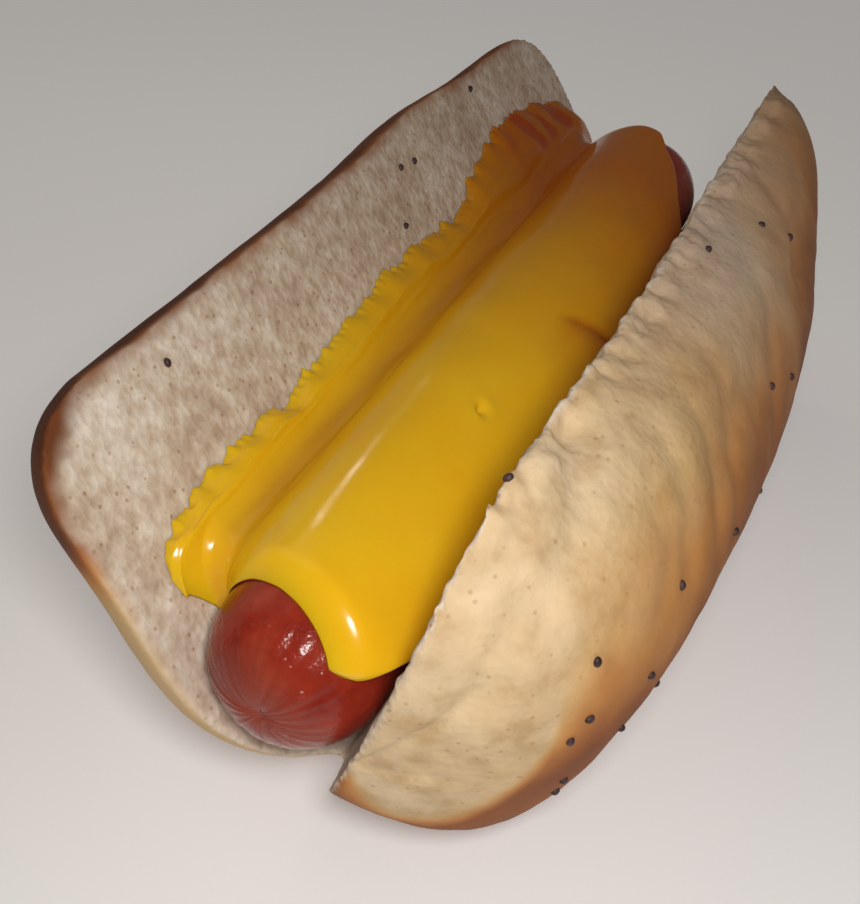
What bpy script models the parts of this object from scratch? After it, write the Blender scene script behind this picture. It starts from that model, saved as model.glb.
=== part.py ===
"""Hot dog: a side-cut bun lying open in a V, a frankfurter along its hinge and melted cheese over both.

Metres. X runs along the bun, from the near end to the far end. Y points to the side of the bottom leaf,
which shows its crumb. The top leaf, with the domed crust and its poppy seeds, stands on the -Y side. Z is up.
"""

import math
import random

import bmesh
import bpy
import numpy as np
from mathutils import Quaternion, Vector, noise
from mathutils.bvhtree import BVHTree

MM = 0.001

# The two leaves of the bun, which meet at the hinge line below the frankfurter
BUN_NEAR_END = -76.0 * MM
BUN_FAR_END = 77.5 * MM
BOTTOM_TILT = math.radians(60)
TOP_TILT = math.radians(66)
BOTTOM_WIDTH = 57.5 * MM
TOP_WIDTH = 53.7 * MM
BOTTOM_THICKNESS = 11.5 * MM
TOP_THICKNESS = 29.0 * MM
TOP_LIP = 1.2 * MM
NEAR_LIP = 2.6 * MM
NEAR_LIP_FROM = -22.0 * MM
NEAR_LIP_START = 28.0 * MM

FRANK_RADIUS = 10.5 * MM
FRANK_NEAR_END = -78.0 * MM
FRANK_FAR_END = 74.8 * MM
FRANK_PINCH = 0.9 * MM
CLEARANCE = 0.3 * MM

CHEESE_THICKNESS = 2.1 * MM
CHEESE_EDGE = 0.9 * MM
CHEESE_ROWS = 40
VALLEY_UNDER = 1.0 * MM
VALLEY_OVER = 3.2 * MM
TOOTH_DEPTH = 1.3 * MM
TOOTH_SPACING = 9.0 * MM
# Where the cheese ends: its border out on the bottom leaf, (mm along, mm out from the hinge line), and its
# two ends over the frankfurter, (degrees round from the bottom leaf's side, mm along)
CHEESE_BORDER = ((-68.8, 34), (-68, 36.6), (-66.5, 37.8), (-62, 38.8), (-57, 40), (-48, 40.3), (-39, 39.3),
                 (-26, 40.6), (-7, 42.2), (12, 41.6), (20, 40), (27, 43.6), (39, 46.2), (52, 47.2), (63, 45),
                 (71, 42.6), (76, 38))
CHEESE_NEAR = ((-40, -68.9), (-25, -68.6), (-10, -65.8), (10, -66.2), (31, -67.4), (55, -68), (80, -69.2),
               (98, -70.4), (113, -71.5), (128, -72.6), (142, -73.6), (150, -73.2), (158, -69.5), (178, -63))
CHEESE_FAR = ((-40, 75.5), (-15, 76.5), (-10, 74), (7, 70.5), (24, 69.8), (56, 68.5), (80, 66), (96, 61),
              (110, 58), (124, 54), (135, 51), (150, 49), (178, 47))
CHEESE_FAR_SIDE = math.radians(178)
CHEESE_UNDER = 0.6 * MM
DRAPE_LEAST = 0.8

SEED_WIDTH = 1.2 * MM
SEED_SHAPE = (1.0, 0.8, 0.75)
SEED_OUT = 0.05 * MM
# Poppy seeds on the crust (mm along, degrees round from the top leaf's rim to its underside) and on the
# bottom leaf's crumb (mm along, mm out from the hinge line)
CRUST_SEEDS = ((-64.7, 32), (-50, 37.5), (-32.5, 48), (-56, 52), (-65.5, 47), (-67, 52), (-63, 83),
               (-61.5, 95), (-10, 36), (-1.5, 42), (-2.4, 5), (17.6, 21), (13, 13), (-60.5, -4.6))
CRUMB_SEEDS = ((-52, 53), (4.7, 45.2), (15.3, 52), (11, 52.6), (42, 55.2))
HIDDEN_SEEDS = 14
HIDDEN_FROM = -60.0
HIDDEN_TO = 55.0
HIDDEN_ROUND = (60, 130)

BUN_ROWS = 16
BUN_LAYERS = 4
CRUST_UNEVEN = 0.5 * MM
UNEVEN_SPACING = 16.0 * MM
UNEVEN_APART = (0.0, 31.7, 57.3)
TORN_EDGE = 1.1 * MM
TORN_SPACING = 7.0 * MM
CORNER_ROUND = 18.9 * MM
BOTTOM_CORNER_ROUND = 12.5 * MM
CRUST_CORNER = 24.0 * MM
BOTTOM_HINGE_ROUND = 18.0 * MM
TOP_HINGE_ROUND = 11.3 * MM
HINGE_INSET = 16.6 * MM
BOTTOM_RIM_ROUND = 6.0 * MM
BOTTOM_RIM_BULGE = 1.0 * MM
TOP_RIM_ROUND = 3.0 * MM
TOP_RIM_BULGE = 0.9 * MM
BOTTOM_END_ROUND = 14.7 * MM
TOP_NEAR_ROUND = 17.4 * MM
TOP_FAR_ROUND = 26.3 * MM
HINGE_THICKNESS = 14.0 * MM
HINGE_SLANT = 3.0 * MM
DOME_MIDDLE = 19.5 * MM
DOME_HALF = 33.8 * MM
DOME_SQUARENESS = 2.8
DOME_SHOULDER = 0.42
DOME_NEAR_FALL = 0.335
DOME_FAR_FALL = 0.78

# Where the frankfurter's axis lies above the hinge line: it touches both leaves
REACH = FRANK_RADIUS + CLEARANCE
HALF_OPENING = (math.pi - BOTTOM_TILT - TOP_TILT) / 2
LEAN = (TOP_TILT - BOTTOM_TILT) / 2
AXIS_ABOVE_HINGE = REACH / math.sin(HALF_OPENING)

HINGE_Y = 1.7 * MM
HINGE_Z = 12.5 * MM
AXIS_Y = HINGE_Y + AXIS_ABOVE_HINGE * math.sin(LEAN)
AXIS_Z = HINGE_Z + AXIS_ABOVE_HINGE * math.cos(LEAN)


def clear_scene():
    for obj in list(bpy.data.objects):
        bpy.data.objects.remove(obj, do_unlink=True)


def new_collection(name):
    collection = bpy.data.collections.new(name)
    bpy.context.scene.collection.children.link(collection)
    return collection


def food_material(name, colour, roughness):
    material = bpy.data.materials.new(name)
    material.use_nodes = True
    shader = material.node_tree.nodes["Principled BSDF"]
    shader.inputs["Base Color"].default_value = (*colour, 1.0)
    shader.inputs["Roughness"].default_value = roughness
    shader.inputs["Metallic"].default_value = 0.0
    return material


def add_object(name, mesh, collection, material):
    obj = bpy.data.objects.new(name, mesh)
    collection.objects.link(obj)
    mesh.materials.append(material)
    return obj


def box_cage(name, rows, columns, layers, place):
    """A cube cut into rows, columns and layers, with each point moved to place(row, column, layer)."""
    counts = (rows, columns, layers)
    cage = bmesh.new()
    bmesh.ops.create_cube(cage, size=1.0)
    for axis, count in enumerate(counts):
        edges = [e for e in cage.edges if abs(e.verts[0].co[axis] - e.verts[1].co[axis]) > 0.9]
        if count > 1:
            bmesh.ops.subdivide_edges(cage, edges=edges, cuts=count - 1, use_grid_fill=True)
    top_layer = cage.verts.layers.int.new("crumb")
    for vertex in cage.verts:
        step = [round((vertex.co[axis] + 0.5) * count) for axis, count in enumerate(counts)]
        vertex[top_layer] = int(step[2] == layers)
        vertex.co = place(*step)
    if cage.calc_volume(signed=True) < 0:
        bmesh.ops.reverse_faces(cage, faces=cage.faces)
    mesh = bpy.data.meshes.new(name)
    cage.to_mesh(mesh)
    cage.free()
    return mesh


def on_bottom_leaf(out, up):
    """(y, z) of a point out along the bottom leaf from the hinge line, and up from its crumb face."""
    return Vector((
        HINGE_Y + out * math.cos(BOTTOM_TILT) - up * math.sin(BOTTOM_TILT),
        HINGE_Z + out * math.sin(BOTTOM_TILT) + up * math.cos(BOTTOM_TILT),
    ))


def on_top_leaf(out, up):
    """(y, z) of a point out along the top leaf from the hinge line, and up from its crumb face."""
    return Vector((
        HINGE_Y - out * math.cos(TOP_TILT) + up * math.sin(TOP_TILT),
        HINGE_Z + out * math.sin(TOP_TILT) + up * math.cos(TOP_TILT),
    ))


def dome_depth(out):
    """How deep the top leaf's crust lies under its crumb face, out from the hinge line."""
    reach = abs(out - DOME_MIDDLE) / DOME_HALF
    return TOP_THICKNESS * (1 - reach ** DOME_SQUARENESS) ** DOME_SHOULDER


def bun_columns():
    """Across the bun from rim to rim: the leaf, and how far out its crumb face and its crust are there."""
    corner = [1 - math.sin(math.radians(angle)) for angle in (90, 66, 44, 22, 0)]
    columns = []
    for inward in corner:
        crust = BOTTOM_WIDTH - BOTTOM_RIM_ROUND - CRUST_CORNER * inward
        crumb = BOTTOM_WIDTH - BOTTOM_CORNER_ROUND * inward
        columns.append((on_bottom_leaf, crumb, crust, BOTTOM_THICKNESS, BOTTOM_RIM_BULGE * (1 - inward)))
    for crumb, crust in ((30.0 * MM, 26.0 * MM), (17.0 * MM, 11.0 * MM), (6.0 * MM, -3.0 * MM)):
        columns.append((on_bottom_leaf, crumb, crust, BOTTOM_THICKNESS, 0.0))
    columns.append((on_top_leaf, 0.0, -HINGE_THICKNESS, HINGE_SLANT, 0.0))
    for crumb, crust in ((6.0 * MM, -7.0 * MM), (17.0 * MM, 5.0 * MM), (30.0 * MM, 19.0 * MM)):
        columns.append((on_top_leaf, crumb, crust, dome_depth(crust), 0.0))
    for inward in reversed(corner):
        crust = TOP_WIDTH - TOP_RIM_ROUND - CRUST_CORNER * inward
        bulge = TOP_RIM_BULGE * (1 - inward)
        columns.append((on_top_leaf, TOP_WIDTH - CORNER_ROUND * inward, crust, dome_depth(crust), bulge))
    return columns


def corner_inset(out, width, corner_round):
    """How far a leaf's end draws in, in plan, where its corner rounds into the rim."""
    short = corner_round - min(corner_round, width - out)
    return corner_round - math.sqrt(corner_round ** 2 - short ** 2)


def hinge_inset(out, hinge_round):
    """How far a leaf's end draws in, in plan, towards the hinge."""
    return HINGE_INSET * (1 - min(1.0, max(0.0, out) / hinge_round)) ** 2.2


def uneven_skin(place):
    """The small shift of a point of the crust that makes its skin uneven."""
    near = place / UNEVEN_SPACING
    shift = [noise.noise(near + Vector((apart, apart, apart))) for apart in UNEVEN_APART]
    return CRUST_UNEVEN * Vector(shift)


def rim_lip(out, x):
    """How far the torn rim of the top leaf's crumb face rises, more towards the near end."""
    near = max(0.0, (NEAR_LIP_FROM - x) / (NEAR_LIP_FROM - BUN_NEAR_END))
    outer = max(0.0, (out - NEAR_LIP_START) / (TOP_WIDTH - NEAR_LIP_START))
    return TOP_LIP * (max(0.0, out) / TOP_WIDTH) ** 3 + NEAR_LIP * near * outer ** 2


def bun_cage():
    columns = bun_columns()
    middle = (BUN_NEAR_END + BUN_FAR_END) / 2
    half = (BUN_FAR_END - BUN_NEAR_END) / 2

    def place(row, column, layer):
        leaf, crumb_out, crust_out, depth, bulge = columns[column]
        turn = 0.5 * math.pi * (1 - layer / BUN_LAYERS)
        sink = math.sin(turn)
        draw = 1 - math.cos(turn)
        out = crumb_out + (crust_out - crumb_out) * draw + bulge * math.sin(2 * turn)
        along = math.sin(math.pi * (row / BUN_ROWS - 0.5))
        if leaf is on_top_leaf:
            end_round = TOP_NEAR_ROUND if along < 0 else TOP_FAR_ROUND
            inset = corner_inset(crumb_out, TOP_WIDTH, CORNER_ROUND) * (1 + draw)
            inset += hinge_inset(crumb_out, TOP_HINGE_ROUND) + end_round * draw
        else:
            inset = corner_inset(crumb_out, BOTTOM_WIDTH, BOTTOM_CORNER_ROUND)
            inset += hinge_inset(crumb_out, BOTTOM_HINGE_ROUND) + BOTTOM_END_ROUND * draw
        x = middle + along * (half - inset)
        lip = 0.0
        if leaf is on_top_leaf:
            lip = rim_lip(crumb_out, x)
            fall = DOME_NEAR_FALL if along < 0 else DOME_FAR_FALL
            depth *= 1 - fall * ((x - middle) / half) ** 2
            if bulge:
                out += TORN_EDGE * noise.noise((x / TORN_SPACING, layer, 0.0))
        point = leaf(out, lip * (1 - sink) - depth * sink)
        place_now = Vector((x, point.x, point.y))
        return place_now + sink * uneven_skin(place_now)

    return box_cage("bun", BUN_ROWS, len(columns) - 1, BUN_LAYERS, place)


def crease_crumb_rim(mesh):
    """The crumb faces meet the crust at an edge: the cage's edges round them are creased."""
    cage = bmesh.new()
    cage.from_mesh(mesh)
    crease = cage.edges.layers.float.new("crease_edge")
    inside = cage.verts.layers.int["crumb"]
    for edge in cage.edges:
        crumb = [all(vertex[inside] for vertex in face.verts) for face in edge.link_faces]
        if any(crumb) and not all(crumb):
            edge[crease] = 1.0
    cage.to_mesh(mesh)
    cage.free()


def build_bun(collection):
    crust = food_material("bun", (0.72, 0.50, 0.28), 0.75)
    mesh = bun_cage()
    crease_crumb_rim(mesh)
    bun = add_object("bun", mesh, collection, crust)
    smooth = bun.modifiers.new("Soft form", "SUBSURF")
    smooth.levels = 1
    smooth.render_levels = 1
    bun.data.shade_smooth()
    return bun


def on_skin(tree, start, towards):
    """Where a line from start meets the bun, and the surface's direction there."""
    place, normal, _, _ = tree.ray_cast(start, towards)
    return place, normal


def seed_places(bun):
    """(place, direction) of each poppy seed on the bun."""
    tree = BVHTree.FromObject(bun, bpy.context.evaluated_depsgraph_get())
    spread = random.Random(4)
    rounds = list(CRUST_SEEDS)
    for index in range(HIDDEN_SEEDS):
        share = (index + spread.random()) / HIDDEN_SEEDS
        rounds.append((HIDDEN_FROM + (HIDDEN_TO - HIDDEN_FROM) * share, spread.uniform(*HIDDEN_ROUND)))
    places = []
    for along, turn in rounds:
        angle = math.radians(turn)
        middle = on_top_leaf(DOME_MIDDLE, 0.0)
        outside = on_top_leaf(DOME_MIDDLE + TOP_WIDTH * math.cos(angle), -TOP_WIDTH * math.sin(angle))
        start = Vector((along * MM, outside.x, outside.y))
        places.append(on_skin(tree, start, Vector((along * MM, middle.x, middle.y)) - start))
    for along, out in CRUMB_SEEDS:
        above = on_bottom_leaf(out * MM, BOTTOM_THICKNESS)
        below = on_bottom_leaf(out * MM, 0.0)
        start = Vector((along * MM, above.x, above.y))
        places.append(on_skin(tree, start, Vector((along * MM, below.x, below.y)) - start))
    return places


def poppy_seeds(bun, collection):
    """One small egg shape for each seed, sunk a little under half way into the bun."""
    spread = random.Random(9)
    seeds = []
    for place, normal in seed_places(bun):
        shape = bmesh.new()
        bmesh.ops.create_uvsphere(shape, u_segments=5, v_segments=4, radius=0.5 * SEED_WIDTH)
        bmesh.ops.scale(shape, vec=SEED_SHAPE, verts=shape.verts)
        mesh = bpy.data.meshes.new("seed")
        shape.to_mesh(mesh)
        shape.free()
        seed = bpy.data.objects.new("seed", mesh)
        collection.objects.link(seed)
        seed.rotation_mode = "QUATERNION"
        spin = Quaternion((0, 0, 1), spread.uniform(0, math.pi))
        seed.rotation_quaternion = normal.to_track_quat("Z", "Y") @ spin
        seed.location = place + normal * SEED_OUT
        seeds.append(seed)
    return seeds


def fuse_seeds(bun):
    """The seeds become one solid with the bun."""
    loose = new_collection("Seeds")
    seeds = poppy_seeds(bun, loose)
    union = bun.modifiers.new("Seeds", "BOOLEAN")
    union.operation = "UNION"
    union.operand_type = "COLLECTION"
    union.collection = loose
    union.solver = "EXACT"
    evaluated = bun.evaluated_get(bpy.context.evaluated_depsgraph_get())
    fused = bpy.data.meshes.new_from_object(evaluated)
    bun.modifiers.clear()
    bun.data = fused
    for seed in seeds:
        bpy.data.objects.remove(seed, do_unlink=True)
    bpy.data.collections.remove(loose)


def cut_rest(bun, cutters):
    """A small flat spot under the bun, at z = 0, on which it rests."""
    size = 2 * TOP_WIDTH
    box = bmesh.new()
    bmesh.ops.create_cube(box, size=1.0)
    bmesh.ops.scale(box, vec=(2 * size, size, size), verts=box.verts)
    mesh = bpy.data.meshes.new("rest")
    box.to_mesh(mesh)
    box.free()
    block = bpy.data.objects.new("rest", mesh)
    cutters.objects.link(block)
    block.location = (0.0, 0.0, -0.5 * size)
    block.hide_render = True
    block.display_type = "WIRE"
    cut = bun.modifiers.new("Rest", "BOOLEAN")
    cut.operation = "DIFFERENCE"
    cut.object = block
    cut.solver = "EXACT"


def frank_radius(x):
    """The frankfurter's radius at x: straight, with a round cap at each end."""
    near = FRANK_NEAR_END + FRANK_RADIUS
    far = FRANK_FAR_END - FRANK_RADIUS
    beyond = max(0.0, near - x, x - far)
    return math.sqrt(max(0.0, FRANK_RADIUS ** 2 - beyond ** 2))


def frank_profile(steps=7):
    """(radius, x) from the near end to the far end, each cap pinched in at its middle."""
    points = []
    for end, direction in ((FRANK_NEAR_END, 1), (FRANK_FAR_END, -1)):
        cap = []
        for step in range(steps + 1):
            angle = 0.5 * math.pi * step / steps
            pinch = FRANK_PINCH * (1 - math.sin(angle)) ** 6
            cap.append((FRANK_RADIUS * math.sin(angle),
                        end + direction * (FRANK_RADIUS * (1 - math.cos(angle)) + pinch)))
        points += cap if direction > 0 else cap[::-1]
    return points


def build_frankfurter(collection):
    skin = food_material("frankfurter", (0.42, 0.09, 0.06), 0.3)
    mesh = bpy.data.meshes.new("frankfurter")
    profile = frank_profile()
    edges = [(i, i + 1) for i in range(len(profile) - 1)]
    mesh.from_pydata([(radius, 0.0, x) for radius, x in reversed(profile)], edges, [])
    frank = add_object("frankfurter", mesh, collection, skin)
    frank.rotation_euler = (0.0, math.radians(90), 0.0)
    frank.location = (0.0, AXIS_Y, AXIS_Z)
    turn = frank.modifiers.new("Turned", "SCREW")
    turn.axis = "Z"
    turn.steps = 28
    turn.render_steps = 28
    turn.use_merge_vertices = True
    turn.merge_threshold = 0.00001
    turn.use_smooth_shade = True
    return frank


def follow(points, value):
    """A value read from (place, value) pairs, with straight runs between them."""
    return float(np.interp(value, [point[0] for point in points], [point[1] for point in points]))


def cheese_path(part, share, x, lift, valley):
    """(y, z) of the cheese at a height lift over what carries it: part 0 lies on the bottom leaf, part 1
    fills the valley beside the frankfurter with a fillet, and part 2 runs over the frankfurter."""
    foot = AXIS_ABOVE_HINGE * math.cos(HALF_OPENING)
    radius = max(frank_radius(x), DRAPE_LEAST * FRANK_RADIUS) + lift
    height = REACH - lift - valley
    reach = math.sqrt((radius + valley) ** 2 - height ** 2)
    start = math.atan2(-height, reach)
    if part == 0:
        along = x / MM
        tooth = TOOTH_DEPTH * noise.noise((x / TOOTH_SPACING * 2, 5.0, 0.0))
        border = follow(CHEESE_BORDER, along) * MM + tooth
        return on_bottom_leaf(border + (foot + reach - border) * share, lift)
    if part == 1:
        angle = -0.5 * math.pi - (0.5 * math.pi - start) * share
        out = foot + reach + valley * math.cos(angle)
        return on_bottom_leaf(out, lift + valley + valley * math.sin(angle))
    end = CHEESE_FAR_SIDE - BOTTOM_TILT
    angle = start + (end - start) * share
    return on_bottom_leaf(foot + radius * math.cos(angle), REACH + radius * math.sin(angle))


def free_lift(turn):
    """How high over the frankfurter the cheese may stand, at a turn from the level, beside the top leaf."""
    towards_leaf = math.cos(math.pi + 0.5 * math.pi - TOP_TILT - turn)
    if towards_leaf <= 0:
        return math.inf
    return max((REACH - CLEARANCE) / towards_leaf - FRANK_RADIUS, 1.15 * CHEESE_UNDER)


def cheese_shell():
    counts = (5, 4, 10)
    columns = [(0, step / counts[0]) for step in range(counts[0])]
    columns += [(1, step / counts[1]) for step in range(counts[1])]
    columns += [(2, step / counts[2]) for step in range(counts[2] + 1)]
    last = len(columns) - 1

    def place(row, column, layer):
        part, share = columns[column]
        turn = (-40 + 30 * share, -10, math.degrees(CHEESE_FAR_SIDE) * share)[part]
        near = follow(CHEESE_NEAR, turn) * MM
        far = follow(CHEESE_FAR, turn) * MM
        step = row / CHEESE_ROWS
        x = near + (far - near) * step
        rim = min(row, CHEESE_ROWS - row, column, last - column)
        thick = CHEESE_EDGE if rim == 0 else CHEESE_THICKNESS
        lift = CHEESE_UNDER + thick * layer
        if part == 2:
            lift = min(lift, free_lift(math.radians(turn)) if layer else lift)
        valley = VALLEY_OVER if layer else VALLEY_UNDER
        point = cheese_path(part, share, x, lift, valley)
        return x, point.x, point.y

    return box_cage("cheese", CHEESE_ROWS, last, 1, place)


def build_cheese(collection):
    melted = food_material("cheese", (0.85, 0.50, 0.05), 0.25)
    cheese = add_object("cheese", cheese_shell(), collection, melted)
    cheese.data.shade_smooth()
    return cheese


def main():
    clear_scene()
    parts = new_collection("Hot dog")
    cutters = new_collection("Cutters")
    bun = build_bun(parts)
    fuse_seeds(bun)
    cut_rest(bun, cutters)
    build_frankfurter(parts)
    build_cheese(parts)


main()
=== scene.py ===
"""Hot dog: the detailed look of the bun, its poppy seeds, the frankfurter and the melted cheese.

Metres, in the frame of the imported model: X along the bun, the bottom leaf on the +Y side with its crumb face
in view, the domed top leaf on the -Y side, Z up, resting on z = 0.
"""

import math
import random

import bmesh
import bpy
import numpy as np
from mathutils import Matrix, Vector, noise
from mathutils.bvhtree import BVHTree


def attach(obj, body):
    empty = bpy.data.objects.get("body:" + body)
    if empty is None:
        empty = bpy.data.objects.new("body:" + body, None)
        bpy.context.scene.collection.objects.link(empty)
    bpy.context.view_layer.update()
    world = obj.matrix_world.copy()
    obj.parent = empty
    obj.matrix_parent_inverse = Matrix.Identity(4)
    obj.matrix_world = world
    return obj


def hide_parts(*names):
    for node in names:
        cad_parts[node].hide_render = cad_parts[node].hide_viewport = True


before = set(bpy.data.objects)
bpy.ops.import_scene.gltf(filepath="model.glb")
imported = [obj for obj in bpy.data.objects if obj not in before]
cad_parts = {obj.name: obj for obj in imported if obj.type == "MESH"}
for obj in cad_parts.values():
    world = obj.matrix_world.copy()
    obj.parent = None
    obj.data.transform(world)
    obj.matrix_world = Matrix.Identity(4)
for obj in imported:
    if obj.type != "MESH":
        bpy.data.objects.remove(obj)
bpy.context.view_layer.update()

MM = 0.001

# The bun's form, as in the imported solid
BUN_NEAR_END = -76.0 * MM
BUN_FAR_END = 77.5 * MM
BOTTOM_TILT = math.radians(60)
TOP_TILT = math.radians(66)
BOTTOM_WIDTH = 57.5 * MM
TOP_WIDTH = 53.7 * MM
BOTTOM_THICKNESS = 11.5 * MM
TOP_THICKNESS = 29.0 * MM
TOP_LIP = 1.2 * MM
NEAR_LIP = 2.6 * MM
NEAR_LIP_FROM = -22.0 * MM
NEAR_LIP_START = 28.0 * MM
CORNER_ROUND = 18.9 * MM
BOTTOM_CORNER_ROUND = 12.5 * MM
CRUST_CORNER = 24.0 * MM
BOTTOM_HINGE_ROUND = 18.0 * MM
TOP_HINGE_ROUND = 11.3 * MM
HINGE_INSET = 16.6 * MM
BOTTOM_RIM_ROUND = 6.0 * MM
BOTTOM_RIM_BULGE = 1.0 * MM
TOP_RIM_ROUND = 3.0 * MM
TOP_RIM_BULGE = 0.9 * MM
BOTTOM_END_ROUND = 14.7 * MM
TOP_NEAR_ROUND = 17.4 * MM
TOP_FAR_ROUND = 26.3 * MM
HINGE_THICKNESS = 14.0 * MM
HINGE_SLANT = 3.0 * MM
DOME_MIDDLE = 19.5 * MM
DOME_HALF = 33.8 * MM
DOME_SQUARENESS = 2.8
DOME_SHOULDER = 0.42
DOME_NEAR_FALL = 0.335
DOME_FAR_FALL = 0.78
BUN_ROWS = 16
BUN_LAYERS = 4
CRUST_UNEVEN = 0.5 * MM
UNEVEN_SPACING = 16.0 * MM
UNEVEN_APART = (0.0, 31.7, 57.3)
TORN_EDGE = 1.1 * MM
TORN_SPACING = 7.0 * MM

FRANK_RADIUS = 10.5 * MM
FRANK_NEAR_END = -78.0 * MM
FRANK_FAR_END = 74.8 * MM
FRANK_PINCH = 0.9 * MM
CLEARANCE = 0.3 * MM

CHEESE_THICKNESS = 2.1 * MM
VALLEY_OVER = 3.2 * MM
VALLEY_UNDER = 1.0 * MM
CHEESE_UNDER = 0.6 * MM
DRAPE_LEAST = 0.8
TOOTH_DEPTH = 1.3 * MM
TOOTH_SPACING = 9.0 * MM
CHEESE_BORDER = ((-68.8, 34), (-68, 36.6), (-66.5, 37.8), (-62, 38.8), (-57, 40), (-48, 40.3), (-39, 39.3),
                 (-26, 40.6), (-7, 42.2), (12, 41.6), (20, 40), (27, 43.6), (39, 46.2), (52, 47.2), (63, 45),
                 (71, 42.6), (76, 38))
CHEESE_NEAR = ((-40, -68.9), (-25, -68.6), (-10, -65.8), (10, -66.2), (31, -67.4), (55, -68), (80, -69.2),
               (98, -70.4), (113, -71.5), (128, -72.6), (142, -73.6), (150, -73.2), (158, -69.5), (178, -63))
CHEESE_FAR = ((-40, 75.5), (-15, 76.5), (-10, 74), (7, 70.5), (24, 69.8), (56, 68.5), (80, 66), (96, 61),
              (110, 58), (124, 54), (135, 51), (150, 49), (178, 47))
CHEESE_FAR_SIDE = math.radians(178)
SHEET, VALLEY, DRAPE = range(3)
CHEESE_COLUMNS = (34, 14, 50)
CHEESE_ROWS = 420
SHEET_WIDTH = 12.0 * MM
DRAPE_WIDTH = 33.0 * MM
EDGE_WIDTH = 2.3 * MM
END_WIDTH = 5.0 * MM
# Folds at the far end of the sheet: (mm along, width in mm, depth)
FAR_FOLDS = ((52.5, 1.7, 0.4), (58.5, 1.4, 0.3), (64.5, 1.5, 0.35))
# The pit over the frankfurter, along and round, and the crease beyond it
PIT_PLACE = (-31.6 * MM, 18.4 * MM)
PIT_SIZE = (1.1 * MM, 0.7 * MM)
CREASE_FROM = -2.6
CREASE_SLANT = 26.0
CREASE_MIDDLE = 0.657

REACH = FRANK_RADIUS + CLEARANCE
HALF_OPENING = (math.pi - BOTTOM_TILT - TOP_TILT) / 2
LEAN = (TOP_TILT - BOTTOM_TILT) / 2
AXIS_ABOVE_HINGE = REACH / math.sin(HALF_OPENING)
HINGE_Y = 1.7 * MM
HINGE_Z = 12.5 * MM
AXIS_Y = HINGE_Y + AXIS_ABOVE_HINGE * math.sin(LEAN)
AXIS_Z = HINGE_Z + AXIS_ABOVE_HINGE * math.cos(LEAN)

SEED_WIDTH = 1.2 * MM
SEED_SHAPE = (1.0, 0.8, 0.75)
DEGREE_MM = 0.5
# Poppy seeds that the photo shows: on the crust (mm along, degrees round) and on the crumb (mm along, mm out)
CRUST_SEEDS = ((-64.7, 32), (-50, 37.5), (-32.5, 48), (-56, 52), (-65.5, 47), (-67, 52), (-63, 83),
               (-61.5, 95), (-10, 36), (-1.5, 42), (-2.4, 5), (17.6, 21), (13, 13), (-60.5, -4.6))
CRUMB_SEEDS = ((-52, 53), (4.7, 45.2), (15.3, 52), (11, 52.6), (42, 55.2))
HIDDEN_SEEDS = 14
HIDDEN_FROM = -60.0
HIDDEN_TO = 55.0
HIDDEN_ROUND = (60, 130)

VOXEL = 0.62 * MM
# Where the top leaf's crust begins to turn golden: (mm along, degrees round from its rim)
GOLDEN_FROM = ((-76, 160), (-73, 140), (-70, 96), (-68, 50), (-64, 36), (-56, 31), (-48, 30), (-30, 30),
               (0, 25), (35, 16), (77, 8))
# Creases in the top leaf: depth and width in mm and degrees, then points (mm along, degrees round)
CREASES = (
    (1.0, 4.5, ((-49, 1), (-53, 3), (-55.4, 5.6), (-59, 9.9), (-62, 11), (-66.3, 13.7), (-67.7, 15.8))),
    (0.8, 3.5, ((-68.5, 10), (-70.7, 12), (-72.1, 14), (-73.4, 18), (-74, 21.5))),
    (0.7, 3.0, ((-74.4, 20), (-74.7, 26), (-74.5, 44), (-74.2, 68))),
    (0.4, 5.0, ((-47, 14), (-50.4, 22.4), (-50.2, 28), (-54, 36))),
    (0.4, 4.0, ((-42.5, 15), (-44, 22), (-47, 30), (-49, 38))),
    (0.4, 4.0, ((-34, 17), (-35, 25), (-38, 33), (-40, 42))),
    (0.35, 4.0, ((-22, 14), (-26, 24), (-31, 34), (-34, 46))),
    (0.35, 4.0, ((2, 12), (-3, 24), (-9, 36), (-12, 46))),
    (0.35, 4.0, ((26, 8), (20, 20), (14, 32))),
)
# Local changes of outline: height in mm, then middle and width along, then middle and width out or round
CRUST_SWELLS = ((0.8, -42, 16, 44, 22), (1.2, 52, 14, 20, 22))
CORNER_SWELL = (1.0, -71, 9, 50, 10)
END_SWELL = (0.9, -74, 8, 26, 11)
RIM_HUMP = (1.3, 22, 16)
FAR_BLUNT = (1.8, 71, 5)

FLOOR_HALF = 1.2


def on_bottom_leaf(out, up):
    return Vector((
        HINGE_Y + out * math.cos(BOTTOM_TILT) - up * math.sin(BOTTOM_TILT),
        HINGE_Z + out * math.sin(BOTTOM_TILT) + up * math.cos(BOTTOM_TILT),
    ))


def on_top_leaf(out, up):
    return Vector((
        HINGE_Y - out * math.cos(TOP_TILT) + up * math.sin(TOP_TILT),
        HINGE_Z + out * math.sin(TOP_TILT) + up * math.cos(TOP_TILT),
    ))


def smoothstep(low, high, value):
    share = np.clip((value - low) / (high - low), 0.0, 1.0)
    return share * share * (3 - 2 * share)


def hill(value, middle, width):
    """1 at the middle, falling smoothly to 0 a few widths away."""
    return np.exp(-((value - middle) / width) ** 2)


def follow(points, value):
    """The second number of the points, read between them at a value of the first."""
    return np.interp(value, [point[0] for point in points], [point[1] for point in points])


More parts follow.
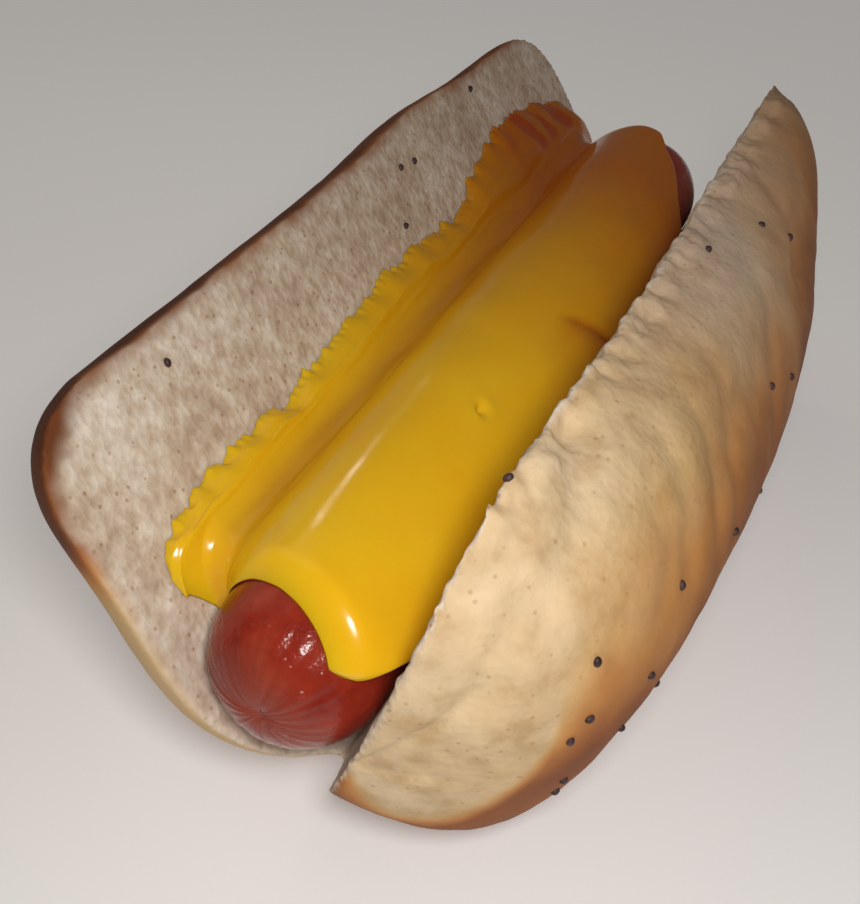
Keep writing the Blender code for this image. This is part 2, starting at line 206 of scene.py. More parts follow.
def lattice_noise(points, spacing, seed):
    """Smooth noise between -1 and 1 at each point, from random values on a lattice."""
    places = points / spacing + seed * 17.31
    base = np.floor(places).astype(np.int64)
    part = places - base
    part = part * part * part * (part * (part * 6 - 15) + 10)
    total = np.zeros(len(points))
    for corner in range(8):
        step = np.array([(corner >> axis) & 1 for axis in range(3)])
        cell = base + step
        mixed = (cell[:, 0] * 73856093) ^ (cell[:, 1] * 19349663) ^ (cell[:, 2] * 83492791)
        mixed = (mixed ^ (mixed >> 13)) * 1274126177
        value = ((mixed ^ (mixed >> 16)) & 0xFFFF) / 32767.5 - 1
        weight = np.prod(np.where(step, part, 1 - part), axis=1)
        total += weight * value
    return total


def layered_noise(points, spacing, seed, layers=3):
    total = np.zeros(len(points))
    for layer in range(layers):
        total += lattice_noise(points, spacing / 2 ** layer, seed + layer) / 2 ** layer
    return total


def mesh_points(mesh):
    points = np.empty(len(mesh.vertices) * 3)
    mesh.vertices.foreach_get("co", points)
    return points.reshape(-1, 3)


def set_points(mesh, points):
    mesh.vertices.foreach_set("co", points.ravel())
    mesh.update()


def normals_of(mesh):
    normals = np.empty(len(mesh.vertices) * 3)
    mesh.vertices.foreach_get("normal", normals)
    return normals.reshape(-1, 3)


def set_shade(mesh, name, values):
    layer = mesh.attributes.new(name, "FLOAT", "POINT")
    layer.data.foreach_set("value", values.astype(np.float32))


def new_piece(name, mesh, material, node):
    obj = bpy.data.objects.new(name, mesh)
    bpy.context.scene.collection.objects.link(obj)
    mesh.materials.clear()
    mesh.materials.append(material)
    mesh.shade_smooth()
    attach(obj, "root")
    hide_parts(node)
    return obj


# Materials


def food_material(name, roughness):
    material = bpy.data.materials.new(name)
    material.use_nodes = True
    shader = material.node_tree.nodes["Principled BSDF"]
    shader.inputs["Roughness"].default_value = roughness
    shader.inputs["Metallic"].default_value = 0.0
    return material, material.node_tree.nodes, material.node_tree.links, shader


def noise_node(nodes, links, scale, detail):
    """A noise texture over the object's own coordinates, in metres."""
    place = nodes.new("ShaderNodeTexCoord")
    texture = nodes.new("ShaderNodeTexNoise")
    texture.inputs["Scale"].default_value = scale
    texture.inputs["Detail"].default_value = detail
    links.new(place.outputs["Object"], texture.inputs["Vector"])
    return texture.outputs["Fac"]


def cells_node(nodes, links, scale):
    """The distance to the nearest of many scattered points, over the object's own coordinates."""
    place = nodes.new("ShaderNodeTexCoord")
    texture = nodes.new("ShaderNodeTexVoronoi")
    texture.inputs["Scale"].default_value = scale
    links.new(place.outputs["Object"], texture.inputs["Vector"])
    return texture.outputs["Distance"]


def ramp_node(nodes, links, value, stops):
    ramp = nodes.new("ShaderNodeValToRGB")
    elements = ramp.color_ramp.elements
    while len(elements) < len(stops):
        elements.new(0.5)
    for element, (place, colour) in zip(elements, stops):
        element.position = place
        element.color = (*colour, 1.0)
    links.new(value, ramp.inputs["Fac"])
    return ramp.outputs["Color"]


def mix_colours(nodes, links, amount, first, second, blend="MIX"):
    mix = nodes.new("ShaderNodeMix")
    mix.data_type = "RGBA"
    mix.blend_type = blend
    for index, value in ((0, amount), (6, first), (7, second)):
        if isinstance(value, bpy.types.NodeSocket):
            links.new(value, mix.inputs[index])
        else:
            mix.inputs[index].default_value = (*value, 1.0) if index else value
    return mix.outputs[2]


def shade_value(nodes, name):
    reader = nodes.new("ShaderNodeAttribute")
    reader.attribute_name = name
    return reader.outputs["Fac"]


def maths(nodes, links, operation, *values):
    node = nodes.new("ShaderNodeMath")
    node.operation = operation
    for index, value in enumerate(values):
        if isinstance(value, bpy.types.NodeSocket):
            links.new(value, node.inputs[index])
        else:
            node.inputs[index].default_value = value
    return node.outputs[0]


def bump_node(nodes, links, height, distance, strength=1.0):
    bump = nodes.new("ShaderNodeBump")
    bump.inputs["Distance"].default_value = distance
    bump.inputs["Strength"].default_value = strength
    links.new(height, bump.inputs["Height"])
    return bump.outputs["Normal"]


def linear(red, green, blue):
    """A colour given as on a screen, from 0 to 255, as the shader takes it."""
    shares = [value / 255 for value in (red, green, blue)]
    return tuple(((c + 0.055) / 1.055) ** 2.4 if c > 0.04 else c / 12.92 for c in shares)


def bun_material():
    material, nodes, links, shader = food_material("bun", 0.72)
    toast = shade_value(nodes, "toast")
    patches = noise_node(nodes, links, 90, 4)
    fine = noise_node(nodes, links, 480, 6)
    mottled = maths(nodes, links, "ADD", toast, maths(nodes, links, "MULTIPLY", maths(
        nodes, links, "SUBTRACT", patches, 0.5), 0.22))
    crust = ramp_node(nodes, links, mottled, [
        (0.0, linear(218, 192, 154)), (0.2, linear(214, 176, 122)), (0.45, linear(204, 142, 80)),
        (0.7, linear(158, 92, 44)), (1.0, linear(92, 46, 20))])
    grain = maths(nodes, links, "ADD", maths(nodes, links, "MULTIPLY", fine, 0.6), maths(
        nodes, links, "MULTIPLY", patches, 0.4))
    crumb = ramp_node(nodes, links, grain, [
        (0.32, linear(188, 164, 142)), (0.48, linear(214, 196, 176)), (0.66, linear(240, 230, 216))])
    cloud = ramp_node(nodes, links, noise_node(nodes, links, 230, 6), [
        (0.34, (0.84, 0.78, 0.7)), (0.5, (1, 1, 1)), (0.68, (1.12, 1.14, 1.18))])
    crust = mix_colours(nodes, links, shade_value(nodes, "cloudy"), crust, cloud, "MULTIPLY")
    crust = mix_colours(nodes, links, shade_value(nodes, "cool"), crust, linear(206, 186, 178))
    # Painted shade: the top leaf darkens towards its far end
    crust = mix_colours(nodes, links, shade_value(nodes, "painted_far_shade"), crust, linear(112, 66, 34))
    colour = mix_colours(nodes, links, shade_value(nodes, "crumb"), crust, crumb)
    speck = ramp_node(nodes, links, cells_node(nodes, links, 620), [
        (0.08, (0.7, 0.58, 0.48)), (0.2, (1, 1, 1))])
    colour = mix_colours(nodes, links, shade_value(nodes, "open"), colour, speck, "MULTIPLY")
    links.new(colour, shader.inputs["Base Color"])
    shader.inputs["Specular IOR Level"].default_value = 0.25
    shader.inputs["Subsurface Weight"].default_value = 0.12
    shader.inputs["Subsurface Radius"].default_value = (1.0, 0.6, 0.35)
    shader.inputs["Subsurface Scale"].default_value = 0.002
    pores = maths(nodes, links, "MULTIPLY", cells_node(nodes, links, 900), 0.7)
    rough = maths(nodes, links, "ADD", fine, pores)
    depth = maths(nodes, links, "MULTIPLY", rough, shade_value(nodes, "open"))
    links.new(bump_node(nodes, links, depth, 0.00022), shader.inputs["Normal"])
    return material


def seed_material():
    material, nodes, links, shader = food_material("poppy seeds", 0.55)
    colour = ramp_node(nodes, links, noise_node(nodes, links, 900, 2), [
        (0.3, linear(44, 26, 26)), (0.7, linear(88, 60, 60))])
    links.new(colour, shader.inputs["Base Color"])
    return material


def frank_material():
    material, nodes, links, shader = food_material("frankfurter", 0.2)
    colour = ramp_node(nodes, links, noise_node(nodes, links, 160, 4), [
        (0.3, linear(120, 26, 16)), (0.55, linear(150, 46, 29)), (0.8, linear(174, 72, 48))])
    tip = mix_colours(nodes, links, shade_value(nodes, "tip"), colour, linear(140, 62, 46))
    links.new(tip, shader.inputs["Base Color"])
    shader.inputs["Subsurface Weight"].default_value = 0.1
    shader.inputs["Subsurface Radius"].default_value = (1.0, 0.25, 0.15)
    shader.inputs["Subsurface Scale"].default_value = 0.001
    shader.inputs["Specular IOR Level"].default_value = 0.28
    fine = noise_node(nodes, links, 1300, 3)
    dots = ramp_node(nodes, links, cells_node(nodes, links, 620), [(0.12, (1, 1, 1)), (0.3, (0, 0, 0))])
    some = ramp_node(nodes, links, noise_node(nodes, links, 200, 1), [(0.55, (0, 0, 0)), (0.65, (1, 1, 1))])
    rough = maths(nodes, links, "ADD", fine, maths(nodes, links, "MULTIPLY", dots, some))
    links.new(bump_node(nodes, links, rough, 0.00014, 0.7), shader.inputs["Normal"])
    return material


def cheese_material():
    material, nodes, links, shader = food_material("cheese", 0.18)
    clear = ramp_node(nodes, links, noise_node(nodes, links, 60, 3), [
        (0.3, linear(242, 186, 20)), (0.7, linear(248, 198, 30))])
    # Painted shade and sheen: a brownish band along the valley between the cheese sheet and the frankfurter
    colour = mix_colours(nodes, links, shade_value(nodes, "valley_shade_and_sheen"), clear, linear(192, 128, 36))
    # Painted shade: darker amber towards the far end, inside the far folds and along the crease
    colour = mix_colours(nodes, links, shade_value(nodes, "toast_and_painted_shade"), colour, linear(182, 76, 2))
    links.new(colour, shader.inputs["Base Color"])
    shader.inputs["Subsurface Weight"].default_value = 0.3
    shader.inputs["Specular IOR Level"].default_value = 0.38
    shader.inputs["Subsurface Radius"].default_value = (1.0, 0.6, 0.08)
    shader.inputs["Subsurface Scale"].default_value = 0.002
    fine = noise_node(nodes, links, 300, 2)
    links.new(bump_node(nodes, links, fine, 0.0002, 0.3), shader.inputs["Normal"])
    return material


# The bun


def dome_depth(out):
    reach = abs(out - DOME_MIDDLE) / DOME_HALF
    return TOP_THICKNESS * (1 - reach ** DOME_SQUARENESS) ** DOME_SHOULDER


def bun_columns():
    corner = [1 - math.sin(math.radians(angle)) for angle in (90, 66, 44, 22, 0)]
    columns = []
    for inward in corner:
        crust = BOTTOM_WIDTH - BOTTOM_RIM_ROUND - CRUST_CORNER * inward
        crumb = BOTTOM_WIDTH - BOTTOM_CORNER_ROUND * inward
        columns.append((on_bottom_leaf, crumb, crust, BOTTOM_THICKNESS, BOTTOM_RIM_BULGE * (1 - inward)))
    for crumb, crust in ((30.0 * MM, 26.0 * MM), (17.0 * MM, 11.0 * MM), (6.0 * MM, -3.0 * MM)):
        columns.append((on_bottom_leaf, crumb, crust, BOTTOM_THICKNESS, 0.0))
    columns.append((on_top_leaf, 0.0, -HINGE_THICKNESS, HINGE_SLANT, 0.0))
    for crumb, crust in ((6.0 * MM, -7.0 * MM), (17.0 * MM, 5.0 * MM), (30.0 * MM, 19.0 * MM)):
        columns.append((on_top_leaf, crumb, crust, dome_depth(crust), 0.0))
    for inward in reversed(corner):
        crust = TOP_WIDTH - TOP_RIM_ROUND - CRUST_CORNER * inward
        bulge = TOP_RIM_BULGE * (1 - inward)
        columns.append((on_top_leaf, TOP_WIDTH - CORNER_ROUND * inward, crust, dome_depth(crust), bulge))
    return columns


def corner_inset(out, width, corner_round):
    short = corner_round - min(corner_round, width - out)
    return corner_round - math.sqrt(corner_round ** 2 - short ** 2)


def hinge_inset(out, hinge_round):
    return HINGE_INSET * (1 - min(1.0, max(0.0, out) / hinge_round)) ** 2.2


def box_cage(name, rows, columns, layers, place):
    """A cube cut into rows, columns and layers, with each point moved to place(row, column, layer)."""
    counts = (rows, columns, layers)
    cage = bmesh.new()
    bmesh.ops.create_cube(cage, size=1.0)
    for axis, count in enumerate(counts):
        edges = [e for e in cage.edges if abs(e.verts[0].co[axis] - e.verts[1].co[axis]) > 0.9]
        if count > 1:
            bmesh.ops.subdivide_edges(cage, edges=edges, cuts=count - 1, use_grid_fill=True)
    top_layer = cage.verts.layers.int.new("crumb")
    for vertex in cage.verts:
        step = [round((vertex.co[axis] + 0.5) * count) for axis, count in enumerate(counts)]
        vertex[top_layer] = int(step[2] == layers)
        vertex.co = place(*step)
    crease = cage.edges.layers.float.new("crease_edge")
    for edge in cage.edges:
        crumb = [all(vertex[top_layer] for vertex in face.verts) for face in edge.link_faces]
        if any(crumb) and not all(crumb):
            edge[crease] = 1.0
    if cage.calc_volume(signed=True) < 0:
        bmesh.ops.reverse_faces(cage, faces=cage.faces)
    mesh = bpy.data.meshes.new(name)
    cage.to_mesh(mesh)
    cage.free()
    return mesh


def uneven_skin(place):
    near = place / UNEVEN_SPACING
    shift = [noise.noise(near + Vector((apart, apart, apart))) for apart in UNEVEN_APART]
    return CRUST_UNEVEN * Vector(shift)


def rim_lip(out, x):
    near = max(0.0, (NEAR_LIP_FROM - x) / (NEAR_LIP_FROM - BUN_NEAR_END))
    outer = max(0.0, (out - NEAR_LIP_START) / (TOP_WIDTH - NEAR_LIP_START))
    return TOP_LIP * (max(0.0, out) / TOP_WIDTH) ** 3 + NEAR_LIP * near * outer ** 2


def bun_cage():
    columns = bun_columns()
    middle = (BUN_NEAR_END + BUN_FAR_END) / 2
    half = (BUN_FAR_END - BUN_NEAR_END) / 2

    def place(row, column, layer):
        leaf, crumb_out, crust_out, depth, bulge = columns[column]
        turn = 0.5 * math.pi * (1 - layer / BUN_LAYERS)
        sink = math.sin(turn)
        draw = 1 - math.cos(turn)
        out = crumb_out + (crust_out - crumb_out) * draw + bulge * math.sin(2 * turn)
        along = math.sin(math.pi * (row / BUN_ROWS - 0.5))
        if leaf is on_top_leaf:
            end_round = TOP_NEAR_ROUND if along < 0 else TOP_FAR_ROUND
            inset = corner_inset(crumb_out, TOP_WIDTH, CORNER_ROUND) * (1 + draw)
            inset += hinge_inset(crumb_out, TOP_HINGE_ROUND) + end_round * draw
        else:
            inset = corner_inset(crumb_out, BOTTOM_WIDTH, BOTTOM_CORNER_ROUND)
            inset += hinge_inset(crumb_out, BOTTOM_HINGE_ROUND) + BOTTOM_END_ROUND * draw
        x = middle + along * (half - inset)
        lip = 0.0
        if leaf is on_top_leaf:
            lip = rim_lip(crumb_out, x)
            fall = DOME_NEAR_FALL if along < 0 else DOME_FAR_FALL
            depth *= 1 - fall * ((x - middle) / half) ** 2
            if bulge:
                out += TORN_EDGE * noise.noise((x / TORN_SPACING, layer, 0.0))
        point = leaf(out, lip * (1 - sink) - depth * sink)
        place_now = Vector((x, point.x, point.y))
        return place_now + sink * uneven_skin(place_now)

    return box_cage("bun", BUN_ROWS, len(columns) - 1, BUN_LAYERS, place)


def leaf_places(points):
    """Each point as (out, up) on the bottom leaf and on the top leaf, and whether it is on the bottom one."""
    y = points[:, 1] - HINGE_Y
    z = points[:, 2] - HINGE_Z
    bottom = (y * math.cos(BOTTOM_TILT) + z * math.sin(BOTTOM_TILT),
              -y * math.sin(BOTTOM_TILT) + z * math.cos(BOTTOM_TILT))
    top = (-y * math.cos(TOP_TILT) + z * math.sin(TOP_TILT),
           y * math.sin(TOP_TILT) + z * math.cos(TOP_TILT))
    on_bottom = y * math.cos(LEAN) - z * math.sin(LEAN) > 0
    return bottom, top, on_bottom


def crease_depth(along, turn, line):
    """How far down a crease sinks at each place along the top leaf and round it."""
    depth, width, path = line
    nearest = np.full(len(along), 1e9)
    for (x_0, turn_0), (x_1, turn_1) in zip(path, path[1:]):
        run = np.array([x_1 - x_0, (turn_1 - turn_0) * DEGREE_MM])
        place = np.stack([along - x_0, (turn - turn_0) * DEGREE_MM], axis=1)
        share = np.clip(place @ run / (run @ run), 0, 1)
        nearest = np.minimum(nearest, np.hypot(*(place - share[:, None] * run).T))
    return depth * np.exp(-(nearest / (width * DEGREE_MM)) ** 2)


def even_bun_mesh():
    """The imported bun's form, softened and remeshed into small even faces."""
    shell = bpy.data.objects.new("bun shell", bun_cage())
    bpy.context.scene.collection.objects.link(shell)
    smooth = shell.modifiers.new("Soft form", "SUBSURF")
    smooth.levels = 2
    smooth.render_levels = 2
    even = shell.modifiers.new("Even", "REMESH")
    even.mode = "VOXEL"
    even.voxel_size = VOXEL
    evaluated = shell.evaluated_get(bpy.context.evaluated_depsgraph_get())
    fine = bpy.data.meshes.new_from_object(evaluated)
    bpy.data.objects.remove(shell, do_unlink=True)
    return fine


def local_change(along, other, change):
    """How high a local change of outline is at each place along the bun and out on a leaf or round it."""
    height, along_middle, along_width, other_middle, other_width = change
    return height * MM * hill(along, along_middle, along_width) * hill(other, other_middle, other_width)


def crumb_share(points, normals, up, wedge, out, on_bottom):
    """1 on a crumb face and 0 on crust, with a browned wedge at the bottom leaf's near outer corner."""
    crumb_depth = np.where(on_bottom, 0.6, 2.2) * MM
    crumb = smoothstep(-crumb_depth - 0.5 * MM, -crumb_depth + 0.2 * MM, up)
    facing = np.where(
        on_bottom,
        -normals[:, 1] * math.sin(BOTTOM_TILT) + normals[:, 2] * math.cos(BOTTOM_TILT),
        normals[:, 1] * math.sin(TOP_TILT) + normals[:, 2] * math.cos(TOP_TILT))
    crumb = crumb * smoothstep(0.2, 0.7, facing)
    rim = np.hypot(np.minimum(0, points[:, 0] / MM + 62), np.maximum(0, out / MM - 43.5))
    rim += 0.35 * layered_noise(points, 5 * MM, 5) + 1.5 * wedge
    rim += 0.5 * lattice_noise(points, 1.8 * MM, 7)
    return crumb * np.where(on_bottom, smoothstep(15.0, 11.8, rim), 1)


def bottom_toast(points, out, up, wedge, wavy):
    """How toasted the bottom leaf's crust is: darkest just behind the rim and pale at its near end."""
    toast_and_painted_shade = smoothstep(0.0, 2.0 * MM, -up) * smoothstep(9 * MM, 4 * MM, -up)
    near_end = smoothstep(-60 * MM, -68 * MM, points[:, 0]) * smoothstep(46 * MM, 34 * MM, out)
    near_end *= smoothstep(9 * MM, 5 * MM, -up)
    back = smoothstep(5 * MM, 9 * MM, -up)
    return (0.74 + 0.2 * toast_and_painted_shade - 0.14 * back + 0.16 * wedge + 0.1 * wavy) * (1 - 0.85 * near_end)


def crumb_relief(points):
    soft = layered_noise(points, 5 * MM, 11)
    pits = layered_noise(points, 1.7 * MM, 23, 2)
    return 0.035 * MM * soft - 0.03 * MM * smoothstep(0.5, 1.1, pits)


def crust_relief(points, along, round_top, on_bottom):
    """Fine wrinkles everywhere, and on the top leaf also long wrinkles, creases and two low swellings."""
    wrinkled = 0.13 * MM * layered_noise(points * np.array([1, 0.45, 0.45]), 4.5 * MM, 31)
    wrinkled += 0.2 * MM * lattice_noise(points, 8 * MM, 33)
    for line in CREASES:
        wrinkled -= crease_depth(along, round_top, line) * MM
    for swell in CRUST_SWELLS:
        wrinkled += local_change(along, round_top, swell)
    return wrinkled * (~on_bottom) + 0.05 * MM * layered_noise(points, 7 * MM, 35)


def top_rim_share(points, out):
    """0 inside the top leaf's outline, 1 on it."""
    half = (BUN_FAR_END - BUN_NEAR_END) / 2 - CORNER_ROUND
    past_end = np.maximum(0, np.abs(points[:, 0] - (BUN_NEAR_END + BUN_FAR_END) / 2) - half)
    return np.hypot(past_end, np.maximum(0, out - TOP_WIDTH + CORNER_ROUND)) / CORNER_ROUND


def torn_share(points, out, up, top_rim, on_bottom):
    """1 where the bread is torn along a rim, 0 elsewhere."""
    near = np.clip((NEAR_LIP_FROM - points[:, 0]) / (NEAR_LIP_FROM - BUN_NEAR_END), 0, 1)
    lip = TOP_LIP + NEAR_LIP * near
    return np.where(
        on_bottom,
        0.25 * smoothstep(0.86, 0.97, out / BOTTOM_WIDTH) * smoothstep(3.2 * MM, 0.4 * MM, np.abs(up)),
        smoothstep(0.7, 0.95, top_rim) * smoothstep(5 * MM, 2 * MM, np.abs(up - lip)))


def detailed_bun(material):
    fine = even_bun_mesh()
    points = mesh_points(fine)
    normals = normals_of(fine)
    (bottom_out, bottom_up), (top_out, top_up), on_bottom = leaf_places(points)
    up = np.where(on_bottom, bottom_up, top_up)
    out = np.where(on_bottom, bottom_out, top_out)
    along = points[:, 0] / MM
    round_top = np.degrees(np.arctan2(-top_up, top_out - DOME_MIDDLE))

    wedge = hill(along, -71, 7) * hill(out / MM, 53, 7)
    crumb = crumb_share(points, normals, up, wedge, out, on_bottom)
    wavy = layered_noise(points, 14 * MM, 3)
    starts = follow(GOLDEN_FROM, along)
    golden = smoothstep(-26, 16, round_top - starts + 5 * wavy)
    browned = smoothstep(2, 42, round_top - starts + 6 * wavy)
    top_toast = 0.05 + 0.45 * golden + 0.25 * browned + 0.05 * wavy
    toast = np.where(on_bottom, bottom_toast(points, bottom_out, bottom_up, wedge, wavy), top_toast)
    pale = (1 - golden) * (~on_bottom)

    top_rim = top_rim_share(points, out)
    torn = torn_share(points, out, up, top_rim, on_bottom)
    tear = 0.5 * layered_noise(points, 2.1 * MM, 47, 2) + 0.7 * lattice_noise(points, 9 * MM, 51)
    tear += 0.6 * lattice_noise(points, 1.4 * MM, 53)
    relief = crumb * crumb_relief(points) + (1 - crumb) * crust_relief(points, along, round_top, on_bottom)
    relief += 0.55 * MM * tear * torn * (~on_bottom)

    ragged = 0.9 * MM * layered_noise(points * np.array([1, 0.5, 0.5]), 4.2 * MM, 41, 2)
    corner = local_change(along, out / MM, CORNER_SWELL)
    end = local_change(along, out / MM, END_SWELL)
    hump = RIM_HUMP[0] * MM * hill(along, *RIM_HUMP[1:]) * smoothstep(0.9, 1.0, out / BOTTOM_WIDTH)
    blunt = FAR_BLUNT[0] * MM * hill(along, *FAR_BLUNT[1:]) * smoothstep(0.5, 1.0, top_rim)
    rise = torn * ragged + np.where(on_bottom, 0.7 * corner + hump, -blunt)
    tilt = np.where(on_bottom, BOTTOM_TILT, TOP_TILT)
    points[:, 1] += rise * np.cos(tilt) * np.where(on_bottom, 1, -1)
    points[:, 2] += rise * np.sin(tilt)
    points[:, 0] -= np.where(on_bottom, corner + end, 0)
    points += normals * relief[:, None]
    points[:, 2] = np.maximum(points[:, 2], 0.0)
    set_points(fine, points)

    set_shade(fine, "crumb", crumb)
    set_shade(fine, "toast", np.clip(toast, 0, 1))
    set_shade(fine, "cloudy", np.clip(1 - 0.7 * golden, 0, 1) * (~on_bottom))
    set_shade(fine, "cool", 0.55 * smoothstep(-45, 5, along) * (1 - 0.9 * golden) * (~on_bottom))
    # Painted shade towards the top leaf's far end
    set_shade(fine, "painted_far_shade", 0.65 * smoothstep(36, 74, along) * (~on_bottom))
    set_shade(fine, "open", np.clip(crumb + 0.6 * pale, 0.08, 1))
    return new_piece("bun_bread", fine, material, "bun")


# The seeds


def seed_places(bun):
    tree = BVHTree.FromObject(bun, bpy.context.evaluated_depsgraph_get())
    spread = random.Random(4)
    rounds = list(CRUST_SEEDS)
    for index in range(HIDDEN_SEEDS):
        share = (index + spread.random()) / HIDDEN_SEEDS
        rounds.append((HIDDEN_FROM + (HIDDEN_TO - HIDDEN_FROM) * share, spread.uniform(*HIDDEN_ROUND)))
    lines = []
    for along, turn in rounds:
        angle = math.radians(turn)
        middle = on_top_leaf(DOME_MIDDLE, 0.0)
        outside = on_top_leaf(DOME_MIDDLE + TOP_WIDTH * math.cos(angle), -TOP_WIDTH * math.sin(angle))
        lines.append((along * MM, outside, middle))
    for along, out in CRUMB_SEEDS:
        outside = on_bottom_leaf(out * MM, BOTTOM_THICKNESS)
        lines.append((along * MM, outside, on_bottom_leaf(out * MM, 0.0)))
    places = []
    for x, start, end in lines:
        start = Vector((x, start.x, start.y))
        place, normal, _, _ = tree.ray_cast(start, Vector((x, end.x, end.y)) - start)
        places.append((place, normal))
    return places


def poppy_seeds(bun, material):
    spread = random.Random(9)
    joined = bmesh.new()
    for place, normal in seed_places(bun):
        turned = normal.to_track_quat("Z", "Y").to_matrix().to_4x4()
        spin = Matrix.Rotation(spread.uniform(0, math.pi), 4, "Z")
        size = Matrix.Diagonal((*SEED_SHAPE, 1.0))
        here = Matrix.Translation(place + normal * 0.05 * MM) @ turned @ spin @ size
        made = bmesh.ops.create_uvsphere(
            joined, u_segments=16, v_segments=10, radius=0.5 * SEED_WIDTH, matrix=here)
        for vertex in made["verts"]:
            vertex.co += normal * 0.04 * MM * noise.noise(vertex.co / (0.4 * MM))
    mesh = bpy.data.meshes.new("poppy seeds")
    joined.to_mesh(mesh)
    joined.free()
    obj = bpy.data.objects.new("poppy_seeds", mesh)
    bpy.context.scene.collection.objects.link(obj)
    mesh.materials.append(material)
    mesh.shade_smooth()
    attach(obj, "root")


# The frankfurter


def frank_profile(steps):
    points = []
    for end, direction in ((FRANK_NEAR_END, 1), (FRANK_FAR_END, -1)):
        cap = []
        for step in range(steps + 1):
            angle = 0.5 * math.pi * step / steps
            pinch = FRANK_PINCH * (1 - math.sin(angle)) ** 6
            cap.append((FRANK_RADIUS * math.sin(angle),
                        end + direction * (FRANK_RADIUS * (1 - math.cos(angle)) + pinch)))
        points += cap if direction > 0 else cap[::-1]
    return points


def frank_mesh(steps=30, body_rows=220, around=144):
    """The frankfurter round the X axis: rings from cap to cap, closed by a point at each end."""
    profile = frank_profile(steps)
    near, far = profile[:steps + 1], profile[steps + 1:]
    near_x, far_x = near[-1][1], far[0][1]
    body = [(FRANK_RADIUS, near_x + (far_x - near_x) * row / body_rows) for row in range(1, body_rows)]
    rings = near[1:] + body + far[:-1]
    angles = np.linspace(0, 2 * math.pi, around, endpoint=False)
    radius = np.array([ring[0] for ring in rings])[:, None]
    x = np.array([ring[1] for ring in rings])[:, None] + 0 * angles[None, :]
    points = np.stack([x, radius * np.cos(angles), radius * np.sin(angles)], axis=-1).reshape(-1, 3)
    points = np.vstack([points, [[near[0][1], 0, 0], [far[-1][1], 0, 0]]])
    near_tip = len(rings) * around
    last = near_tip - around
    faces = []
    for step in range(around):
        after = (step + 1) % around
        for ring in range(0, last, around):
            faces.append((ring + step, ring + around + step, ring + around + after, ring + after))
        faces.append((near_tip, step, after))
        faces.append((near_tip + 1, last + after, last + step))
    mesh = bpy.data.meshes.new("frankfurter")
    mesh.from_pydata(points.tolist(), [], faces)
    mesh.update()
    return mesh


def detailed_frankfurter(material):
    mesh = frank_mesh()
    points = mesh_points(mesh)
    from_near = points[:, 0] - FRANK_NEAR_END
    turn = np.arctan2(points[:, 2], points[:, 1])
    circle = np.stack([np.cos(turn), np.sin(turn), from_near / (60 * MM)], axis=1)
    folds = lattice_noise(circle, 0.24, 2) + 0.4 * lattice_noise(circle, 0.11, 5)
    fade = smoothstep(11 * MM, 2 * MM, from_near)
    fade *= smoothstep(0.0, 1.6 * MM, np.hypot(points[:, 1], points[:, 2]))
    lumps = lattice_noise(points, 6 * MM, 8)
    relief = -0.24 * MM * fade * np.abs(folds) + 0.06 * MM * lumps
    points += normals_of(mesh) * relief[:, None]
    points += np.array([0, AXIS_Y, AXIS_Z])
    set_points(mesh, points)
    set_shade(mesh, "tip", 0.7 * smoothstep(3.6 * MM, 0.6 * MM, from_near + 1.4 * MM * lumps))
    return new_piece("frankfurter_skin", mesh, material, "frankfurter")


# The cheese


def frank_radius(x):
    near = FRANK_NEAR_END + FRANK_RADIUS
    far = FRANK_FAR_END - FRANK_RADIUS
    beyond = max(0.0, near - x, x - far)
    return math.sqrt(max(0.0, FRANK_RADIUS ** 2 - beyond ** 2))


def cheese_path(part, share, x, lift, valley, tooth):
    """Where the cheese is at a share of the way across one of its parts, lifted off what is under it."""
    foot = AXIS_ABOVE_HINGE * math.cos(HALF_OPENING)
    radius = max(frank_radius(x), DRAPE_LEAST * FRANK_RADIUS) + lift
    height = REACH - lift - valley
    reach = math.sqrt(max(0.0, (radius + valley) ** 2 - height ** 2))
    start = math.atan2(-height, reach)
    if part == SHEET:
        border = follow(CHEESE_BORDER, x / MM) * MM + tooth
        return on_bottom_leaf(border + (foot + reach - border) * share, lift)
    if part == VALLEY:
        angle = -0.5 * math.pi - (0.5 * math.pi - start) * share
        out = foot + reach + valley * math.cos(angle)
        return on_bottom_leaf(out, lift + valley + valley * math.sin(angle))
    end = CHEESE_FAR_SIDE - BOTTOM_TILT
    angle = start + (end - start) * share
    return on_bottom_leaf(foot + radius * math.cos(angle), REACH + radius * math.sin(angle))


def free_lift(turn):
    """How far the cheese over the frankfurter may rise before it meets the top leaf."""
    towards_leaf = math.cos(math.pi + 0.5 * math.pi - TOP_TILT - turn)
    if towards_leaf <= 0:
        return math.inf
    return max((REACH - CLEARANCE) / towards_leaf - FRANK_RADIUS, 1.15 * CHEESE_UNDER)


def grown(value, start, length):
    """0 up to the start, 1 from a length after it, straight between them."""
    return min(1.0, max(0.0, (value - start) / length))


def border_tooth(part, share, x):
    tooth = TOOTH_DEPTH * noise.noise((x / TOOTH_SPACING * 2, 5.0, 0.0))
    if part == SHEET:
        small = 0.8 * noise.noise((x / (2.6 * MM), 9.0, 0.0)) + 0.7 * noise.noise((x / (1.1 * MM), 3, 0))
        tooth += MM * small * math.exp(-(share * SHEET_WIDTH / (1.1 * MM)) ** 2)
    return tooth


def edge_fullness(part, share, from_end):
    """0 at the cheese's edges and 1 where it has its whole thickness, round between them."""
    on_sausage = min(1.0, share * 5) if part == DRAPE else 0.0
    rim = from_end / (END_WIDTH + (EDGE_WIDTH - END_WIDTH) * on_sausage)
    if part == SHEET:
        rim = min(rim, share * SHEET_WIDTH / (1.8 * EDGE_WIDTH))
    if part == DRAPE:
        rim = min(rim, (1 - share) * DRAPE_WIDTH / EDGE_WIDTH)
    return math.sqrt(1 - (1 - grown(rim, 0, 1)) ** 2)


